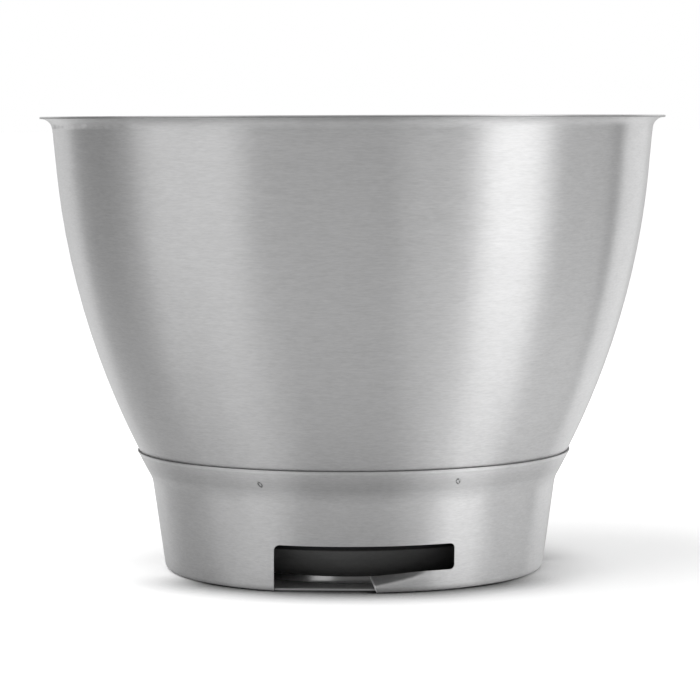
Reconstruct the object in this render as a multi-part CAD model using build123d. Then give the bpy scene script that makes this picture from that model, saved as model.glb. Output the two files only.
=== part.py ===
from build123d import *
import math
import os

# Stand mixer bowl: a drawn steel bowl, spot-welded into a pressed foot ring with bayonet slots.
# Millimetres. The origin is the centre of the foot on the floor, +Z is up, and the front is towards -Y.
# Radii and heights of the bowl and the ring are those of their outer faces, before the bends are rounded.

# Bowl
bowl_sheet = 0.8            # thickness of the steel
rim_radius = 118.0          # edge of the flared lip
rim_height = 171.4          # top of the lip above the floor
lip_width = 4.35            # from its edge to the wall
lip_bend = 4.3              # from the wall into the lip
upper_taper = 5.4           # of the straight upper wall, in degrees
belt_drop = 20.6            # from the lip's underside to where the wall turns into the long arc
base_radius = 55.0          # where the long arc meets the flat bottom
base_clearance = 2.4        # between the floor and the bowl's bottom
base_bend = 20.0            # from the bottom into the wall
dome_radius = 26.0          # raised middle of the bottom
dome_height = 8.0
dome_bend = 12.0            # from the dome into the flat bottom
edge_round = 0.3            # deburred edges of both sheets

# Foot ring
ring_sheet = 0.7
seat_gap = 0.1              # between the bowl's wall and the ring's lip, outside the welds
seam_height = 45.2          # top of the ring's lip
neck_height = 34.6          # where the ring leaves the bowl's wall
neck_bend = 9.0
foot_radius = 71.9          # where the tapered wall meets the floor
foot_bend = 2.5
flange_width = 22.4         # of the flange on the floor, from the tapered wall to its inner edge

# Bayonet slots. Each has its own frame: x along the slot, y from the front into the bowl.
slot_count = 3
slot_azimuth = 3.2          # middle of the front slot, to the right of the front, in degrees
slot_half_width = 32.6
slot_top = 17.4
slot_bottom = 7.7
slot_corner = 1.7           # of the closed end
notch_corner = 2.1          # of the open end
notch_width = 36.8          # open part of the slot, at the floor
notch_depth = 9.0           # of the notch in the flange
notch_skew = 6.4            # turn of that edge towards the open end, in degrees

# Ramp: the strip under the closed part of a slot, pressed in towards its free end
ramp_end_slant = 24.0       # of its cut end, in degrees
ramp_end_land = 0.1         # of the cut end that its rolled outer edge leaves flat
ramp_root_length = 2.6      # of strip that stays flat before the closed end
ramp_fold_height = 2.9      # of the fold at the free end
ramp_lean = 62.0            # of the strip's top edge at the free end, in degrees
ramp_bend_length = 2.4      # of sheet in the fold
ramp_stations = 7           # profiles along the strip
ramp_steps = 8              # of sheet along each profile

# Spot welds: the angle from the slot's middle in degrees, and the height, of each mark of a pair
weld_marks = ((-28.2, 39.6), (24.7, 40.5))
weld_ball = 4.0             # tip of the electrode
weld_depth = 0.22

# Worked out from the sizes above
lip_underside = rim_height - bowl_sheet
throat_radius = rim_radius - lip_width      # where the upper wall meets the lip's underside
belt_radius = throat_radius - belt_drop * math.tan(math.radians(upper_taper))
belt_height = lip_underside - belt_drop
flange_radius = foot_radius - flange_width
notch_setback = foot_radius - notch_depth   # straight edge that the notch leaves, from the axis
ramp_free_end = notch_width - slot_half_width
ramp_root = slot_half_width - ramp_root_length
lip_clearance = seat_gap + ring_sheet       # from the bowl's wall to the ring's outer face
slot_pitch = 360 / slot_count
past_ring = seam_height + foot_radius       # further out than the ring reaches


def corner(outline, radius, height):
    """The vertex of an outline that lies at a radius and a height."""
    return outline.vertices().sort_by_distance((radius, height))[0]


def sheet_section(outline, thickness):
    """Section of a sheet. The outline is its outer face, and the sheet lies to the right of it."""
    return make_face(offset(outline.wire(), amount=thickness, side=Side.RIGHT).edges())


def turned(section):
    """Solid of revolution of a section that is drawn as radius and height."""
    return revolve(Plane.XZ * section, Axis.Z)


# Bowl: from the lip down the outer face to the middle of the bottom

upper_wall = Vector(throat_radius - belt_radius, lip_underside - belt_height).normalized()
with BuildLine() as bowl_outline:
    Line((rim_radius, lip_underside), (throat_radius, lip_underside))
    Line((throat_radius, lip_underside), (belt_radius, belt_height))
    long_arc = TangentArc((belt_radius, belt_height), (base_radius, base_clearance), tangent=-upper_wall)
    Line((base_radius, base_clearance), (dome_radius, base_clearance))
    TangentArc((0, base_clearance + dome_height), (dome_radius, base_clearance), tangent=(1, 0))
    fillet(corner(bowl_outline, throat_radius, lip_underside), lip_bend)
    fillet(corner(bowl_outline, base_radius, base_clearance), base_bend)
    fillet(corner(bowl_outline, dome_radius, base_clearance), dome_bend)

bowl_section = sheet_section(bowl_outline, bowl_sheet)
lip_edges = [corner(bowl_section, rim_radius, height) for height in (lip_underside, rim_height)]
bowl_shell = turned(fillet(lip_edges, edge_round))


# Foot ring: from its lip on the bowl's wall down the outer face to the flange

def seat_point(height):
    """Point of the ring's outer face where it lies on the bowl's long arc."""
    radius = long_arc.radius + lip_clearance
    middle = long_arc.arc_center
    return Vector(middle.X + math.sqrt(radius ** 2 - (height - middle.Y) ** 2), height)


seam = seat_point(seam_height)
neck = seat_point(neck_height)
wall_taper = math.atan2(neck.X - foot_radius, neck_height)

with BuildLine() as ring_outline:
    ThreePointArc(seam, seat_point((seam_height + neck_height) / 2), neck)
    Line(neck, (foot_radius, 0))
    Line((foot_radius, 0), (flange_radius, 0))
    fillet(corner(ring_outline, neck.X, neck.Y), neck_bend)
    fillet(corner(ring_outline, foot_radius, 0), foot_bend)

ring_section = sheet_section(ring_outline, ring_sheet)
foot_ring = turned(fillet(corner(ring_section, seam.X, seam.Y), edge_round))


# Ramp: profiles of the strip at stations along it, joined into one solid

def wall_angle_at(along):
    """Angle round the ring of a place along the slot, in degrees."""
    return math.degrees(math.asin(along / foot_radius))


def radial_plane(angle):
    """Plane through the axis, at an angle from the slot's middle: x is the radius and y the height."""
    outwards = Vector(math.sin(math.radians(angle)), -math.cos(math.radians(angle)), 0)
    return Plane(origin=(0, 0, 0), x_dir=outwards, z_dir=outwards.cross(Vector(0, 0, 1)))


foot_tangent = foot_bend / math.tan((math.pi / 2 + wall_taper) / 2)     # from the corner to the ends of the bend
blank_end = slot_bottom / math.cos(wall_taper)                          # height of the strip along the sheet


def ramp_profile(pressed):
    """Section of the strip, from the flat wall at pressed = 0 to full depth at pressed = 1."""
    lean = math.radians(ramp_lean) * (1 - (1 - pressed) ** 2)
    fold = (slot_bottom + (ramp_fold_height - slot_bottom) * pressed) / math.cos(wall_taper)
    step = (blank_end - foot_tangent) / ramp_steps
    up_wall = Vector(math.sin(wall_taper), math.cos(wall_taper))
    outer = [Vector(foot_radius, 0) + up_wall * foot_tangent]
    headings = [wall_taper]
    for index in range(ramp_steps):
        along_sheet = foot_tangent + (index + 0.5) * step
        bent = min(max((along_sheet - fold) / ramp_bend_length + 0.5, 0), 1)
        headings.append(wall_taper - lean * bent)
        outer.append(outer[-1] + Vector(math.sin(headings[-1]), math.cos(headings[-1])) * step)
    inner = [point + Vector(-math.cos(heading), math.sin(heading)) * ring_sheet
             for point, heading in zip(outer, headings)]
    top_direction = outer[-1] - outer[-2]
    level = ring_sheet * math.tan(wall_taper) * (1 - pressed)           # the top edge is level in the flat wall
    inner[-1] -= top_direction.normalized() * level
    bend_start = foot_radius - foot_tangent
    bend_middle = math.pi / 4 + wall_taper / 2
    to_middle = Vector(math.cos(bend_middle), -math.sin(bend_middle))
    bend_center = Vector(bend_start, foot_bend)
    with BuildLine() as outline:
        Line((flange_radius, 0), (bend_start, 0))
        ThreePointArc((bend_start, 0), bend_center + to_middle * foot_bend, outer[0])
        Spline(outer, tangents=[up_wall, top_direction])
        Line(outer[-1], inner[-1])
        Spline(inner[::-1], tangents=[inner[-2] - inner[-1], -up_wall])
        ThreePointArc(inner[0], bend_center + to_middle * (foot_bend - ring_sheet), (bend_start, ring_sheet))
        Line((bend_start, ring_sheet), (flange_radius, ring_sheet))
        Line((flange_radius, ring_sheet), (flange_radius, 0))
    return make_face(outline.edges())


free_angle = wall_angle_at(ramp_free_end)
root_angle = wall_angle_at(ramp_root)
spare_angle = free_angle - (root_angle - free_angle) / (ramp_stations - 2)      # one station past the free end
ramp_profiles = []
for station in range(ramp_stations):
    angle = spare_angle + (root_angle - spare_angle) * station / (ramp_stations - 1)
    pressed = (root_angle - angle) / (root_angle - free_angle)
    ramp_profiles.append(radial_plane(angle) * ramp_profile(pressed))
ramp = loft(ramp_profiles)


# Cuts. A punch moves straight in from the front of its slot.

def punch(face, from_axis):
    """Solid of a face drawn as x along the slot and height, from a distance off the axis outwards."""
    return extrude(Plane.XZ.offset(from_axis) * face, past_ring - from_axis)


slot_middle = (slot_top + slot_bottom) / 2
with BuildSketch() as slot_face:
    with Locations((0, slot_middle)):
        Rectangle(2 * slot_half_width, slot_top - slot_bottom)
    fillet(slot_face.vertices().group_by(Axis.X)[-1], slot_corner)
    fillet(slot_face.vertices().group_by(Axis.X)[0].sort_by(Axis.Y)[-1], notch_corner)
slot_punch = punch(slot_face.sketch, flange_radius)

slant = math.tan(math.radians(ramp_end_slant))
notch_face = make_face(Polyline(
    (-slot_half_width, -foot_bend), (ramp_free_end + slant * foot_bend, -foot_bend),
    (ramp_free_end - slant * slot_middle, slot_middle), (-slot_half_width, slot_middle), close=True).edges())
skew = math.radians(notch_skew)
notch_middle = (ramp_free_end - slot_half_width) / 2
flange_cut = Plane(origin=(notch_middle, -notch_setback, 0), x_dir=(0, 0, 1),
                   z_dir=(-math.sin(skew), -math.cos(skew), 0))
notch_punch = split(punch(notch_face, flange_radius), bisect_by=flange_cut, keep=Keep.TOP)

with BuildSketch() as ramp_room:
    with Locations(((flange_radius + past_ring) / 2, 0)):
        Rectangle(past_ring - flange_radius + 2 * ring_sheet, 2 * slot_middle)
ramp_sector = revolve(radial_plane(spare_angle) * ramp_room.sketch, Axis.Z, root_angle - spare_angle)

ramp -= notch_punch
free_end = [face for face in ramp.faces().filter_by(GeomType.PLANE) if round(face.normal_at().Y, 6) == 0][0]
outer_end = free_end.edges().filter_by_position(Axis.Z, foot_bend, slot_top).sort_by(Axis.Y)[0]
ramp = fillet(outer_end, ring_sheet - ramp_end_land)
slot_frames = [Rot(0, 0, slot_azimuth + index * slot_pitch) for index in range(slot_count)]
foot_ring -= [frame * cut for frame in slot_frames for cut in (slot_punch, ramp_sector, notch_punch)]
foot_ring += [frame * ramp for frame in slot_frames]


# Spot welds: the shallow marks of the electrode

def weld_mark(angle, height):
    """Ball that dips into the ring's lip, in the frame of a slot."""
    face_point = seat_point(height)
    outwards = (face_point - long_arc.arc_center).normalized()
    ball = face_point + outwards * (weld_ball - weld_depth)
    return Rot(0, 0, angle) * Pos(0, -ball.X, ball.Y) * Sphere(weld_ball)


foot_ring -= [frame * weld_mark(angle, height) for frame in slot_frames for angle, height in weld_marks]


os.makedirs("parts", exist_ok=True)
export_step(bowl_shell, "parts/bowl_shell.step")
export_step(foot_ring, "parts/foot_ring.step")
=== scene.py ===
"""Stand mixer bowl in brushed steel, photographed in a white studio from the front."""
import math

import bpy
from mathutils import Matrix, Vector

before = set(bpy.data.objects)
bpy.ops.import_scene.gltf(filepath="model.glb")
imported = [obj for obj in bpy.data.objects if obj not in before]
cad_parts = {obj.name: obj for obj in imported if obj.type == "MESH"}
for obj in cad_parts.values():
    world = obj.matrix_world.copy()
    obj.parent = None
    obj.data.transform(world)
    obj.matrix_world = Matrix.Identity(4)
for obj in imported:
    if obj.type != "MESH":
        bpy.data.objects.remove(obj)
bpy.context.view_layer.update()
scene = bpy.context.scene
scene.view_settings.view_transform = "Standard"

# Metres, with +Z up. A pair of values that is called a range says where something starts and where it is full.


# Nodes

class Tree:
    """Short calls for one node tree. An input is a value, or the socket that feeds it."""

    def __init__(self, tree):
        self.tree = tree
        tree.nodes.clear()

    def add(self, kind, inputs=None, **settings):
        """A node with its inputs and settings."""
        node = self.tree.nodes.new(kind)
        for name, value in settings.items():
            setattr(node, name, value)
        for key, value in (inputs or {}).items():
            if isinstance(value, bpy.types.NodeSocket):
                self.tree.links.new(value, node.inputs[key])
            else:
                node.inputs[key].default_value = value
        return node

    def math(self, operation, *values):
        """Result of a Math node."""
        return self.add("ShaderNodeMath", dict(enumerate(values)), operation=operation).outputs[0]

    def times(self, a, b):
        """Product of two values."""
        return self.math("MULTIPLY", a, b)

    def length(self, a, b):
        """Length of a vector in a plane."""
        return self.math("SQRT", self.math("ADD", self.times(a, a), self.times(b, b)))

    def azimuth(self, x, y):
        """Direction round the Z axis in radians: 0 is towards the camera, and positive is to the right."""
        return self.math("ARCTAN2", x, self.times(y, -1.0))

    def mix(self, share, without, full):
        """Value between two others."""
        return self.add("ShaderNodeMix", {0: share, 2: without, 3: full}, data_type="FLOAT").outputs[0]

    def between(self, value, start, full, low=0.0, high=1.0):
        """Smooth step from the low level at the start to the high level at the full value and beyond."""
        return self.add("ShaderNodeMapRange", {0: value, 1: start, 2: full, 3: low, 4: high},
                        interpolation_type="SMOOTHSTEP").outputs[0]

    def band(self, value, start, full_from, full_to, end):
        """1 in a band with soft edges, 0 outside it."""
        return self.times(self.between(value, start, full_from), self.between(value, end, full_to))

    def vector(self, operation, a, b):
        """Result of a Vector Math node."""
        node = self.add("ShaderNodeVectorMath", {0: a, 1: b}, operation=operation)
        return node.outputs["Value" if operation == "DOT_PRODUCT" else "Vector"]

    def xyz(self, vector):
        """The three parts of a vector."""
        return self.add("ShaderNodeSeparateXYZ", {0: vector}).outputs

    def grey(self, red_green, blue):
        """Colour that is close to grey."""
        return self.add("ShaderNodeCombineColor", {0: red_green, 1: red_green, 2: blue}).outputs[0]


# Camera: where the photograph was taken from

PHOTO_SIZE = 700                    # pixels
FOCAL_LENGTH = 2973.7               # pixels
SENSOR = 36.0                       # millimetres
EYE = (0, -1.1302, 0.16842)
DOWN = math.radians(4.35)           # pitch
ROLL = -0.0036
SHIFT = 3.3                         # pixels that the picture lies to the right
CLIP_START, CLIP_END = 0.05, 100

camera_data = bpy.data.cameras.new("camera")
camera_data.sensor_width = SENSOR
camera_data.lens = FOCAL_LENGTH / PHOTO_SIZE * SENSOR
camera_data.shift_x = -SHIFT / PHOTO_SIZE
camera_data.clip_start, camera_data.clip_end = CLIP_START, CLIP_END
camera = bpy.data.objects.new("camera", camera_data)
scene.collection.objects.link(camera)
turn = Matrix.Rotation(math.pi / 2 - DOWN, 4, "X") @ Matrix.Rotation(ROLL, 4, "Z")
camera.matrix_world = Matrix.Translation(EYE) @ turn
scene.camera = camera


# Studio: what the steel mirrors, as a room of one level with panels round the bowl. A panel has the azimuth of its
# middle, its half width, the width of its soft edge, all in degrees, and its level. Where panels overlap, the later
# one is in front.

ROOM = 0.53
PANELS = (
    (180, 38, 14, 0.80),            # wall behind
    (-114, 4, 24, 0.35),            # dark gap on the left
    (-64, 14, 18, 0.92),            # large panel on the left
    (70, 45, 12, 0.68),             # wall on the right
    (64, 6, 18, 1.70),              # strip light
    (140, 10, 10, 1.05),            # panel behind on the right
    (121, 1, 6, 0.40))              # dark gap on the right
CEILING = 0.72
CEILING_RANGE = 0.55, 0.95          # by the height of the direction


def studio_level(t, x, y, room=ROOM, panels=PANELS, widen=1.0):
    """Level of the studio in a direction round the bowl, with the azimuth widened by a factor."""
    azimuth = t.times(t.azimuth(x, y), widen)
    azimuth = t.math("MAXIMUM", t.math("MINIMUM", azimuth, math.pi), -math.pi)
    level = room
    for middle, half_width, edge, panel_level in panels:
        away = t.math("WRAP", t.math("SUBTRACT", azimuth, math.radians(middle)), math.pi, -math.pi)
        away = t.math("ABSOLUTE", away)
        shown = t.between(away, math.radians(half_width + edge), math.radians(half_width))
        level = t.mix(shown, level, panel_level)
    return level


world = bpy.data.worlds.new("studio")
world.use_nodes = True
scene.world = world
w = Tree(world.node_tree)
x, y, z = w.xyz(w.add("ShaderNodeTexCoord").outputs["Generated"])
mirrored = w.mix(w.between(z, *CEILING_RANGE), studio_level(w, x, y), CEILING)
seen = w.mix(w.add("ShaderNodeLightPath").outputs["Is Camera Ray"], mirrored, 1.0)
background = w.add("ShaderNodeBackground", {"Color": (1, 1, 1, 1), "Strength": seen})
w.add("ShaderNodeOutputWorld", {0: background.outputs[0]})


# Floor: white for the camera. The bowl's wall leans out and mirrors it, so for the steel its colour carries
# the studio's levels, a painted reflection of its panels and gaps.

FLOOR_REACH = 60.0
FLOOR_DROP = 0.00002                # below the foot, so that their faces don't coincide
FLOOR_LIT = 0.80                    # for light that it throws back

WHITE_NEAR, WHITE_FAR = 1.28, 1.42  # for the camera, close to the bowl and far from it
WHITE_RANGE = 0.25, 1.2             # by the distance from the bowl's axis

MIRROR_GAIN = 1.02                  # of the levels for the steel
NEAR_ROOM = 0.66                    # what is left of the studio close to the bowl
NEAR_PANELS = (
    (-92, 12, 28, 0.56),            # dark gap on the left
    (-43, 6, 18, 0.75),             # large panel on the left
    (95, 40, 45, 1.12),             # walls on the right
    (64, 4, 14, 1.22))              # strip light
NEAR_SHARE = 0.94                   # of these levels where they are strongest
NEAR_RANGE = 0.09, 0.64             # from them to the studio's own, by the distance from the axis
WALL_RADIUS = 0.05                  # of the bowl, where the steel mirrors the floor
WIDEN_LIMIT = 0.5                   # of half that radius, divided by the distance from the axis

# Painted shade on the floor in front of the foot, which only the steel sees
PAINTED_SHADE_PATCH = 0.26                    # darker in the steel, on the floor in front of the foot
PAINTED_SHADE_TURN = -0.86, -0.97       # range by the direction from the axis, as its part along Y
PAINTED_SHADE_REACH = 0.125, 0.105      # range by the distance from the axis

# The contact shadow is painted into the floor's colour: an AO node finds where the foot hides the sky, and the floor
# is darkened there, most in front of the foot
CONTACT_WIDTH = 0.036               # of the shadow that the foot leaves on the floor where it hides the sky
CONTACT_SAMPLES = 8
CONTACT_FRONT = 0.02                # what is left of the light in it, in front of the foot
CONTACT_RIGHT = 0.62                # and on the right of it. On the left there is no such shadow
CONTACT_FRONT_RANGE = -0.25, -0.72  # by the direction from the axis, as its part along Y
CONTACT_RIGHT_RANGE = 0.1, 0.8      # and along X
CONTACT_MIRRORED = 0.25             # share of the shadow in the steel
HIDDEN_SKY_RANGE = 0.98, 0.45       # by the part of the sky that is open
HIDDEN_SKY_POWER = 1.5
UNDER_BOWL_RANGE = 0.050, 0.058     # the shadow starts at this distance from the axis

floor_mesh = bpy.data.meshes.new("floor")
floor_corners = [(-FLOOR_REACH, -FLOOR_REACH, 0), (FLOOR_REACH, -FLOOR_REACH, 0),
                 (FLOOR_REACH, FLOOR_REACH, 0), (-FLOOR_REACH, FLOOR_REACH, 0)]
floor_mesh.from_pydata(floor_corners, [], [(0, 1, 2, 3)])
floor = bpy.data.objects.new("floor", floor_mesh)
scene.collection.objects.link(floor)
floor.location.z = -FLOOR_DROP
floor_material = bpy.data.materials.new("floor")
floor_material.use_nodes = True
floor_mesh.materials.append(floor_material)

f = Tree(floor_material.node_tree)
path = f.add("ShaderNodeLightPath")
x, y, z = f.xyz(f.add("ShaderNodeTexCoord").outputs["Object"])
from_axis = f.length(x, y)
turn_x, turn_y = f.math("DIVIDE", x, from_axis), f.math("DIVIDE", y, from_axis)

taken_up = f.math("MINIMUM", f.math("DIVIDE", WALL_RADIUS / 2, from_axis), WIDEN_LIMIT)
widen = f.math("DIVIDE", 1.0, f.math("SUBTRACT", 1.0, taken_up))
mirrored = f.mix(f.between(from_axis, *NEAR_RANGE, NEAR_SHARE, 0.0), studio_level(f, x, y, widen=widen),
                 studio_level(f, x, y, NEAR_ROOM, NEAR_PANELS, widen))
mirrored = f.times(mirrored, MIRROR_GAIN)
# Painted shade in the steel's view of the floor in front of the foot
shade_in_front = f.times(f.between(turn_y, *PAINTED_SHADE_TURN), f.between(from_axis, *PAINTED_SHADE_REACH))
mirrored = f.times(mirrored, f.math("MULTIPLY_ADD", shade_in_front, -PAINTED_SHADE_PATCH, 1.0))

level = f.mix(path.outputs["Is Glossy Ray"], FLOOR_LIT, mirrored)
level = f.mix(path.outputs["Is Camera Ray"], level, f.between(from_axis, *WHITE_RANGE, WHITE_NEAR, WHITE_FAR))

# Painted contact shadow
open_sky = f.add("ShaderNodeAmbientOcclusion", {"Distance": CONTACT_WIDTH}, samples=CONTACT_SAMPLES).outputs["AO"]
hidden_sky = f.add("ShaderNodeMapRange", {0: open_sky, 1: HIDDEN_SKY_RANGE[0], 2: HIDDEN_SKY_RANGE[1]}).outputs[0]
hidden_sky = f.math("POWER", hidden_sky, HIDDEN_SKY_POWER)
hidden_sky = f.times(hidden_sky, f.between(from_axis, *UNDER_BOWL_RANGE))
light_left = f.between(turn_x, *CONTACT_RIGHT_RANGE, 1.0, CONTACT_RIGHT)
light_left = f.between(turn_y, *CONTACT_FRONT_RANGE, light_left, CONTACT_FRONT)
light_left = f.mix(f.times(path.outputs["Is Glossy Ray"], 1 - CONTACT_MIRRORED), light_left, 1.0)
level = f.times(level, f.mix(hidden_sky, 1.0, light_left))

surface = f.add("ShaderNodeBsdfDiffuse", {"Color": f.grey(level, level)})
f.add("ShaderNodeOutputMaterial", {0: surface.outputs[0]})


# Lamps, none of which the steel mirrors

BOWL_MIDDLE = (0, 0, 0.08)
GLEAM_HEIGHT = 0.0018               # of the two small lamps, under the bowl's bottom
GLEAM_Y, GLEAM_DEPTH = -0.0310, 0.018
GLEAMS = (                          # name, X, width and power
    ("gleam", -0.0118, 0.0075, 1.1e-4),
    ("gleam_right", 0.0050, 0.030, 0.85e-4))


def lamp(name, azimuth, elevation, distance, energy, aim=BOWL_MIDDLE, **shape):
    """Area lamp that looks at a point, from a direction in degrees."""
    a, e = math.radians(azimuth), math.radians(elevation)
    back = Vector((math.sin(a) * math.cos(e), -math.cos(a) * math.cos(e), math.sin(e)))
    data = bpy.data.lights.new(name, "AREA")
    data.energy = energy
    for key, value in shape.items():
        setattr(data, key, value)
    light = bpy.data.objects.new(name, data)
    scene.collection.objects.link(light)
    light.location = Vector(aim) + back * distance
    light.rotation_mode = "QUATERNION"
    light.rotation_quaternion = back.to_track_quat("Z", "Y")
    light.visible_glossy = False
    light.visible_camera = False


# A softbox on the left, which throws the shadow to the right
lamp("softbox_left", azimuth=-72, elevation=55, distance=1.6, energy=14.0, shape="SQUARE", size=1.8)

# The bright streak on the floor that shows through the notch
for name, x, width, energy in GLEAMS:
    lamp(name, azimuth=0, elevation=90, distance=0.0, energy=energy, aim=(x, GLEAM_Y, GLEAM_HEIGHT),
         shape="RECTANGLE", size=width, size_y=GLEAM_DEPTH)


# Brushed steel: streaks that run round the bowl's axis

GREY, ROUGHNESS = 0.63, 0.33
BOWL_STREAK, RING_STREAK = 0.35, 0.34         # how far the streaks change the grey
BOWL_EDGE, RING_EDGE = 0.0002, 0.0003         # radius of the sheet's edges
FINE_STREAKS = 38.0, 2100.0                   # waves round the bowl, and waves in a metre across the brushing
BROAD_STREAKS = 13.0, 900.0
BROAD_SHARE = 0.35
BROAD_OFFSET = 7.0                            # between the two patterns
STREAK_DETAIL, STREAK_ROUGHNESS = 3.0, 0.6
STREAK_GLOSS = 0.10                           # how far the streaks change the roughness
STREAK_BUMP, STREAK_DEPTH = 0.12, 0.00002
CLOUD_SCALE, CLOUD_DETAIL, CLOUD_ROUGHNESS = 60.0, 4.0, 0.6
CLOUD_SHADE = 0.06                            # how far the clouds change the grey
COOL_TINT = 1.004                             # of the blue
ALONG_BRUSHING = 0.25                         # turn of the anisotropy, so that highlights spread across the brushing
EDGE_SAMPLES = 6
NOISE_MIDDLE = 0.5


def brushed_steel(name, streak, edge_radius, places):
    """Steel brushed round the Z axis, with places where its grey and its roughness differ."""
    material = bpy.data.materials.new(name)
    material.use_nodes = True
    t = Tree(material.node_tree)
    coordinates = t.add("ShaderNodeTexCoord")
    point, normal = coordinates.outputs["Object"], coordinates.outputs["Normal"]
    x, y, z = t.xyz(point)
    radius = t.length(x, y)
    turn_x, turn_y = t.math("DIVIDE", x, radius), t.math("DIVIDE", y, radius)

    def streaks(around, across, offset=0.0):
        """Noise with a number of waves round the bowl, and of waves in a metre across the brushing."""
        vector = t.add("ShaderNodeCombineXYZ", {
            0: t.times(turn_x, around), 1: t.times(turn_y, around),
            2: t.math("MULTIPLY_ADD", z, across, offset)}).outputs[0]
        return t.add("ShaderNodeTexNoise", {
            "Vector": vector, "W": t.times(radius, across), "Scale": 1.0, "Detail": STREAK_DETAIL,
            "Roughness": STREAK_ROUGHNESS}, noise_dimensions="4D").outputs[0]

    fine = streaks(*FINE_STREAKS)
    broad = streaks(*BROAD_STREAKS, BROAD_OFFSET)
    cloud = t.add("ShaderNodeTexNoise", {"Vector": point, "Scale": CLOUD_SCALE, "Detail": CLOUD_DETAIL,
                                         "Roughness": CLOUD_ROUGHNESS}).outputs[0]
    mixed = t.math("MULTIPLY_ADD", broad, BROAD_SHARE, t.times(fine, 1 - BROAD_SHARE))
    streaked, clouded = t.math("SUBTRACT", mixed, NOISE_MIDDLE), t.math("SUBTRACT", cloud, NOISE_MIDDLE)

    shade = t.math("MULTIPLY_ADD", streaked, streak, GREY)
    shade = t.math("MULTIPLY_ADD", clouded, CLOUD_SHADE, shade)
    rough = t.math("MULTIPLY_ADD", streaked, STREAK_GLOSS, ROUGHNESS)
    for there, grey_factor, roughness in places(t, point, normal, radius):
        shade = t.mix(there, shade, t.times(shade, grey_factor))
        rough = t.mix(there, rough, roughness)

    # The last place is left unbrushed
    no_grain = t.vector("SUBTRACT", t.add("ShaderNodeTexWhiteNoise", {"Vector": point}).outputs["Color"],
                        (NOISE_MIDDLE, NOISE_MIDDLE, NOISE_MIDDLE))
    grain = t.add("ShaderNodeTangent", direction_type="RADIAL", axis="Z").outputs[0]
    grain = t.add("ShaderNodeMix", {0: there, 4: grain, 5: no_grain}, data_type="VECTOR").outputs[1]

    soft_edge = t.add("ShaderNodeBevel", {"Radius": edge_radius}, samples=EDGE_SAMPLES).outputs[0]
    bump = t.add("ShaderNodeBump", {"Strength": STREAK_BUMP, "Distance": STREAK_DEPTH, "Height": mixed,
                                    "Normal": soft_edge}).outputs[0]
    steel = t.add("ShaderNodeBsdfPrincipled", {
        "Base Color": t.grey(shade, t.times(shade, COOL_TINT)), "Metallic": 1.0, "Roughness": rough,
        "Anisotropic": 1.0, "Anisotropic Rotation": ALONG_BRUSHING, "Tangent": grain, "Normal": bump})
    t.add("ShaderNodeOutputMaterial", {0: steel.outputs[0]})
    return material


# Places on the steel. Each is where it is, a factor on the grey, and the roughness there. Several factors are
# painted shade or painted highlights.

SEAM = 0.0452                       # height of the ring's upper edge
RIM = 0.1180                        # radius of the bowl's rim
LIP_TOP = 0.1714                    # and its height

RIM_EDGE_RANGE = RIM - 0.0007, RIM - 0.0003                # by the distance from the axis
# Painted highlight on the upper corner of the rim's cut edge
RIM_HIGHLIGHT_RANGE = LIP_TOP - 0.0005, LIP_TOP - 0.0003       # by the height
UNDERSIDE_RANGE = SEAM - 0.0008, SEAM - 0.0020
# Painted shadow of the ring on the underside, from this height up
RING_SHADOW_RANGE = 0.0139, 0.0147
DOWNWARD_RANGE = -0.02, -0.10                              # by how far the face looks up
FLAT_RANGE = -0.60, -0.95

SLOT_AZIMUTH = math.radians(3.2)    # of the front slot's middle
SLOT_PITCH = math.radians(120)
WELDS = ((-28.2, 0.0396), (24.7, 0.0405))      # angle from a slot's middle in degrees, and height
WELD_RING = 0.0003, 0.0007, 0.0009, 0.0014     # dark ring of a weld mark, by the distance from its middle
WELD_TILT, WELD_NARROW = 0.35, 1.3
WELD_BREAK_SCALE, WELD_BREAK_DETAIL = 700.0, 1.0
WELD_BREAK_RANGE = 0.36, 0.56

# Faces inside the ring and faces that look up, such as the flange's top, are left unbrushed and darkened with
# painted shade
INSIDE_RANGE = 0.10, -0.02                                 # by how far the face looks away from the axis
UPWARD_RANGE = 0.25, 0.60                                  # by how far it looks up
# Painted highlight on the ramps' free ends, where the face looks along the slot and lies low
FREE_END_HIGHLIGHT_RANGE = 0.15, 0.55                                # by how far it looks along the slot
FREE_END_HIGHLIGHT_HEIGHT = 0.0085, 0.0070
# Painted highlight: a band just under the seam, by the height
SEAM_HIGHLIGHT = SEAM - 0.0014, SEAM - 0.0009, SEAM - 0.0006, SEAM - 0.0003
# Painted shade: the flare below the seam is darker, by the height
FLARE_SHADE = SEAM - 0.0086, SEAM - 0.0070, SEAM - 0.0050, SEAM - 0.0014


def bowl_places(t, point, normal, radius):
    """The cut edge of the rim with a painted highlight on its upper corner, and the underside that the ring hides,
    which is left as it was drawn and darkened with painted shade, most in its upper part, a painted shadow of the
    ring.
    """
    z, facing_up = t.xyz(point)[2], t.xyz(normal)[2]
    edge = t.between(radius, *RIM_EDGE_RANGE)
    # Painted highlight on the upper corner of the rim's cut edge
    edge_highlight = t.times(edge, t.between(z, *RIM_HIGHLIGHT_RANGE))
    # The underside is left unbrushed, and its grey is painted shade: darker all over, and darker still from 14 mm
    # up, a painted shadow of the ring
    underside = t.times(t.between(z, *UNDERSIDE_RANGE), t.between(facing_up, *DOWNWARD_RANGE))
    ring_shadow = t.times(underside, t.between(z, *RING_SHADOW_RANGE))
    flat = t.times(underside, t.between(facing_up, *FLAT_RANGE))
    return ((edge, 0.60, 0.45), (edge_highlight, 2.10, 0.45), (ring_shadow, 0.22, 0.60), (flat, 0.90, 0.60),
            (underside, 0.50, 0.60))


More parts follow.
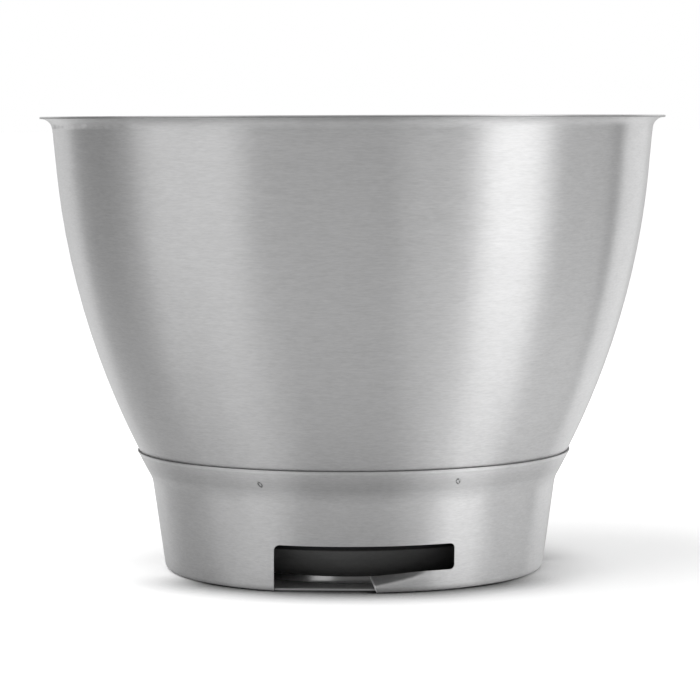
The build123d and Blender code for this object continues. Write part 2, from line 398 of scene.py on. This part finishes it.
def weld_marks(t, point, radius):
    """Broken, slightly tilted rings round the dents of the spot welds."""
    x, y, z = t.xyz(point)
    angle = t.math("SUBTRACT", t.azimuth(x, y), SLOT_AZIMUTH)
    angle = t.math("WRAP", angle, SLOT_PITCH / 2, -SLOT_PITCH / 2)
    marks = 0.0
    for mark_angle, mark_height in WELDS:
        up = t.math("SUBTRACT", z, mark_height)
        across = t.times(t.math("SUBTRACT", angle, math.radians(mark_angle)), radius)
        across = t.times(t.math("MULTIPLY_ADD", up, WELD_TILT, across), WELD_NARROW)
        marks = t.math("MAXIMUM", marks, t.band(t.length(across, up), *WELD_RING))
    breaks = t.add("ShaderNodeTexNoise", {"Vector": point, "Scale": WELD_BREAK_SCALE,
                                          "Detail": WELD_BREAK_DETAIL}).outputs[0]
    return t.times(marks, t.between(breaks, *WELD_BREAK_RANGE))


def ring_places(t, point, normal, radius):
    """The edge at the seam with a painted highlight, the flare below it with painted shade, weld marks, the ramps'
    free ends with painted highlights, and the inside with the flange, left unbrushed and darkened with painted
    shade.
    """
    z = t.xyz(point)[2]
    outward = t.vector("DOT_PRODUCT", t.vector("MULTIPLY", point, (1, 1, 0)), normal)
    sideways = t.vector("DOT_PRODUCT", t.vector("CROSS_PRODUCT", point, (0, 0, 1)), normal)
    # Faces inside the ring and faces that look up get painted shade
    inside = t.between(t.math("DIVIDE", outward, radius), *INSIDE_RANGE)
    upward = t.between(t.xyz(normal)[2], *UPWARD_RANGE)
    # Painted highlight on the ramps' free ends
    free_end_highlight = t.times(t.between(t.math("DIVIDE", sideways, radius), *FREE_END_HIGHLIGHT_RANGE),
                       t.between(z, *FREE_END_HIGHLIGHT_HEIGHT))
    # A painted highlight under the seam, painted shade on the flare, weld marks, painted highlights on the free
    # ends, and painted shade inside
    return ((t.band(z, *SEAM_HIGHLIGHT), 1.14, 0.33), (t.band(z, *FLARE_SHADE), 0.90, 0.33),
            (weld_marks(t, point, radius), 0.24, 0.40), (free_end_highlight, 1.90, 0.45), (inside, 1.60, 0.60),
            (t.math("MAXIMUM", inside, upward), 0.42, 0.60))


FINISH = {
    "bowl_shell": brushed_steel("bowl_steel", BOWL_STREAK, BOWL_EDGE, bowl_places),
    "foot_ring": brushed_steel("ring_steel", RING_STREAK, RING_EDGE, ring_places)}
for name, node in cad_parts.items():
    node.data.materials.clear()
    node.data.materials.append(FINISH[name])
